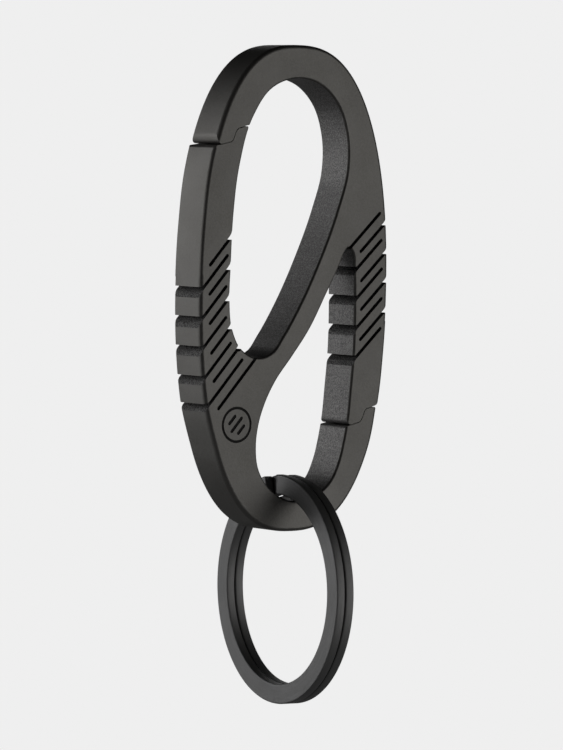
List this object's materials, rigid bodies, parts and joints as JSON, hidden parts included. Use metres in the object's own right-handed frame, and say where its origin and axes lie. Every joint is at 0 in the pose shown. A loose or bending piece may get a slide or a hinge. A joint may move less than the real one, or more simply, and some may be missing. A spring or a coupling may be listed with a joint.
{
  "type": "key organiser",
  "caption": "Flat oval metal clip with an upper and a lower gated loop, folded-slot springs and a hanging split ring, for carrying and sorting keys.",
  "frame": {"origin": "centre of the whole object's bounding box: on the plate's middle plane and long axis, halfway between the top of the plate and the bottom of the hanging ring", "axes": "+Z along the plate towards the upper loop, -Y out of the front face, +X across the plate towards the limb that carries the lower gate"},
  "size_m": [0.03, 0.03, 0.086],
  "materials": {
    "titanium_plate": "dark grey bead-blasted titanium, satin",
    "spring_wire": "dark grey coated flat spring-steel wire, satin"
  },
  "bodies": {
    "frame": {"frame": "titanium_plate"},
    "upper_leaf_01": {"upper_leaf_01": "titanium_plate"},
    "upper_leaf_02": {"upper_leaf_02": "titanium_plate"},
    "upper_leaf_03": {"upper_leaf_03": "titanium_plate"},
    "upper_leaf_04": {"upper_leaf_04": "titanium_plate"},
    "upper_leaf_05": {"upper_leaf_05": "titanium_plate"},
    "upper_leaf_06": {"upper_leaf_06": "titanium_plate"},
    "upper_leaf_07": {"upper_leaf_07": "titanium_plate"},
    "upper_leaf_08": {"upper_leaf_08": "titanium_plate"},
    "upper_leaf_09": {"upper_leaf_09": "titanium_plate"},
    "upper_leaf_10": {"upper_leaf_10": "titanium_plate"},
    "upper_gate": {"upper_gate": "titanium_plate"},
    "lower_leaf_01": {"lower_leaf_01": "titanium_plate"},
    "lower_leaf_02": {"lower_leaf_02": "titanium_plate"},
    "lower_leaf_03": {"lower_leaf_03": "titanium_plate"},
    "lower_leaf_04": {"lower_leaf_04": "titanium_plate"},
    "lower_leaf_05": {"lower_leaf_05": "titanium_plate"},
    "lower_leaf_06": {"lower_leaf_06": "titanium_plate"},
    "lower_leaf_07": {"lower_leaf_07": "titanium_plate"},
    "lower_leaf_08": {"lower_leaf_08": "titanium_plate"},
    "lower_gate": {"lower_gate": "titanium_plate"},
    "split_ring": {"split_ring": "spring_wire"},
    "split_ring_free_coil": {"split_ring_free_coil": "spring_wire"}
  },
  "joints": [
    {"name": "upper_leaf_01_flex", "type": "hinge", "parent": "frame", "child": "upper_leaf_01", "pos_m": [-0.01257, 0, -0.00495], "axis": [0, 1, 0], "range_deg": [0, 1.46]},
    {"name": "upper_leaf_02_flex", "type": "hinge", "parent": "frame", "child": "upper_leaf_02", "pos_m": [-0.01013, 0, -0.00114], "axis": [0, 1, 0], "range_deg": [0, 2.91]},
    {"name": "upper_leaf_03_flex", "type": "hinge", "parent": "frame", "child": "upper_leaf_03", "pos_m": [-0.01122, 0, -0.00121], "axis": [0, 1, 0], "range_deg": [0, 4.36]},
    {"name": "upper_leaf_04_flex", "type": "hinge", "parent": "frame", "child": "upper_leaf_04", "pos_m": [-0.01077, 0, 0.0003], "axis": [0, 1, 0], "range_deg": [0, 5.81]},
    {"name": "upper_leaf_05_flex", "type": "hinge", "parent": "frame", "child": "upper_leaf_05", "pos_m": [-0.01137, 0, 0.00071], "axis": [0, 1, 0], "range_deg": [0, 7.26]},
    {"name": "upper_leaf_06_flex", "type": "hinge", "parent": "frame", "child": "upper_leaf_06", "pos_m": [-0.01114, 0, 0.00195], "axis": [0, 1, 0], "range_deg": [0, 8.71]},
    {"name": "upper_leaf_07_flex", "type": "hinge", "parent": "frame", "child": "upper_leaf_07", "pos_m": [-0.01153, 0, 0.00256], "axis": [0, 1, 0], "range_deg": [0, 10.16]},
    {"name": "upper_leaf_08_flex", "type": "hinge", "parent": "frame", "child": "upper_leaf_08", "pos_m": [-0.0113, 0, 0.00375], "axis": [0, 1, 0], "range_deg": [0, 11.61]},
    {"name": "upper_leaf_09_flex", "type": "hinge", "parent": "frame", "child": "upper_leaf_09", "pos_m": [-0.01157, 0, 0.00445], "axis": [0, 1, 0], "range_deg": [0, 13.06]},
    {"name": "upper_leaf_10_flex", "type": "hinge", "parent": "frame", "child": "upper_leaf_10", "pos_m": [-0.01132, 0, 0.00561], "axis": [0, 1, 0], "range_deg": [0, 14.51]},
    {"name": "upper_gate_hinge", "type": "hinge", "parent": "frame", "child": "upper_gate", "pos_m": [-0.0115, 0, 0.00636], "axis": [0, 1, 0], "range_deg": [0, 15.95], "stiffness_Nm_per_rad": 0.1},
    {"name": "lower_leaf_01_flex", "type": "hinge", "parent": "frame", "child": "lower_leaf_01", "pos_m": [0.01403, 0, 0.02189], "axis": [0, 1, 0], "range_deg": [0, 1.46]},
    {"name": "lower_leaf_02_flex", "type": "hinge", "parent": "frame", "child": "lower_leaf_02", "pos_m": [0.01192, 0, 0.01883], "axis": [0, 1, 0], "range_deg": [0, 2.91]},
    {"name": "lower_leaf_03_flex", "type": "hinge", "parent": "frame", "child": "lower_leaf_03", "pos_m": [0.01273, 0, 0.01865], "axis": [0, 1, 0], "range_deg": [0, 4.36]},
    {"name": "lower_leaf_04_flex", "type": "hinge", "parent": "frame", "child": "lower_leaf_04", "pos_m": [0.012, 0, 0.01699], "axis": [0, 1, 0], "range_deg": [0, 5.81]},
    {"name": "lower_leaf_05_flex", "type": "hinge", "parent": "frame", "child": "lower_leaf_05", "pos_m": [0.01249, 0, 0.01649], "axis": [0, 1, 0], "range_deg": [0, 7.26]},
    {"name": "lower_leaf_06_flex", "type": "hinge", "parent": "frame", "child": "lower_leaf_06", "pos_m": [0.01201, 0, 0.01512], "axis": [0, 1, 0], "range_deg": [0, 8.71]},
    {"name": "lower_leaf_07_flex", "type": "hinge", "parent": "frame", "child": "lower_leaf_07", "pos_m": [0.01233, 0, 0.01446], "axis": [0, 1, 0], "range_deg": [0, 10.16]},
    {"name": "lower_leaf_08_flex", "type": "hinge", "parent": "frame", "child": "lower_leaf_08", "pos_m": [0.01194, 0, 0.01321], "axis": [0, 1, 0], "range_deg": [0, 11.61]},
    {"name": "lower_gate_hinge", "type": "hinge", "parent": "frame", "child": "lower_gate", "pos_m": [0.01216, 0, 0.01246], "axis": [0, 1, 0], "range_deg": [0, 13.05], "stiffness_Nm_per_rad": 0.05},
    {"name": "ring_swing", "type": "hinge", "parent": "frame", "child": "split_ring", "pos_m": [0.00115, 0, -0.00949], "axis": [0, 1, 0], "range_deg": [-50, 50]},
    {"name": "coil_prise", "type": "hinge", "parent": "split_ring", "child": "split_ring_free_coil", "pos_m": [0.00145, 0, -0.04301], "axis": [-0.0698, -0.9976, 0], "range_deg": [0, 7], "stiffness_Nm_per_rad": 0.05}
  ],
  "couplings": [
    {"joint": "upper_leaf_01_flex", "follows": "upper_gate_hinge", "ratio": 0.090909},
    {"joint": "upper_leaf_02_flex", "follows": "upper_gate_hinge", "ratio": 0.18182},
    {"joint": "upper_leaf_03_flex", "follows": "upper_gate_hinge", "ratio": 0.27273},
    {"joint": "upper_leaf_04_flex", "follows": "upper_gate_hinge", "ratio": 0.36364},
    {"joint": "upper_leaf_05_flex", "follows": "upper_gate_hinge", "ratio": 0.45455},
    {"joint": "upper_leaf_06_flex", "follows": "upper_gate_hinge", "ratio": 0.54545},
    {"joint": "upper_leaf_07_flex", "follows": "upper_gate_hinge", "ratio": 0.63636},
    {"joint": "upper_leaf_08_flex", "follows": "upper_gate_hinge", "ratio": 0.72727},
    {"joint": "upper_leaf_09_flex", "follows": "upper_gate_hinge", "ratio": 0.81818},
    {"joint": "upper_leaf_10_flex", "follows": "upper_gate_hinge", "ratio": 0.90909},
    {"joint": "lower_leaf_01_flex", "follows": "lower_gate_hinge", "ratio": 0.11111},
    {"joint": "lower_leaf_02_flex", "follows": "lower_gate_hinge", "ratio": 0.22222},
    {"joint": "lower_leaf_03_flex", "follows": "lower_gate_hinge", "ratio": 0.33333},
    {"joint": "lower_leaf_04_flex", "follows": "lower_gate_hinge", "ratio": 0.44444},
    {"joint": "lower_leaf_05_flex", "follows": "lower_gate_hinge", "ratio": 0.55556},
    {"joint": "lower_leaf_06_flex", "follows": "lower_gate_hinge", "ratio": 0.66667},
    {"joint": "lower_leaf_07_flex", "follows": "lower_gate_hinge", "ratio": 0.77778},
    {"joint": "lower_leaf_08_flex", "follows": "lower_gate_hinge", "ratio": 0.88889}
  ]
}
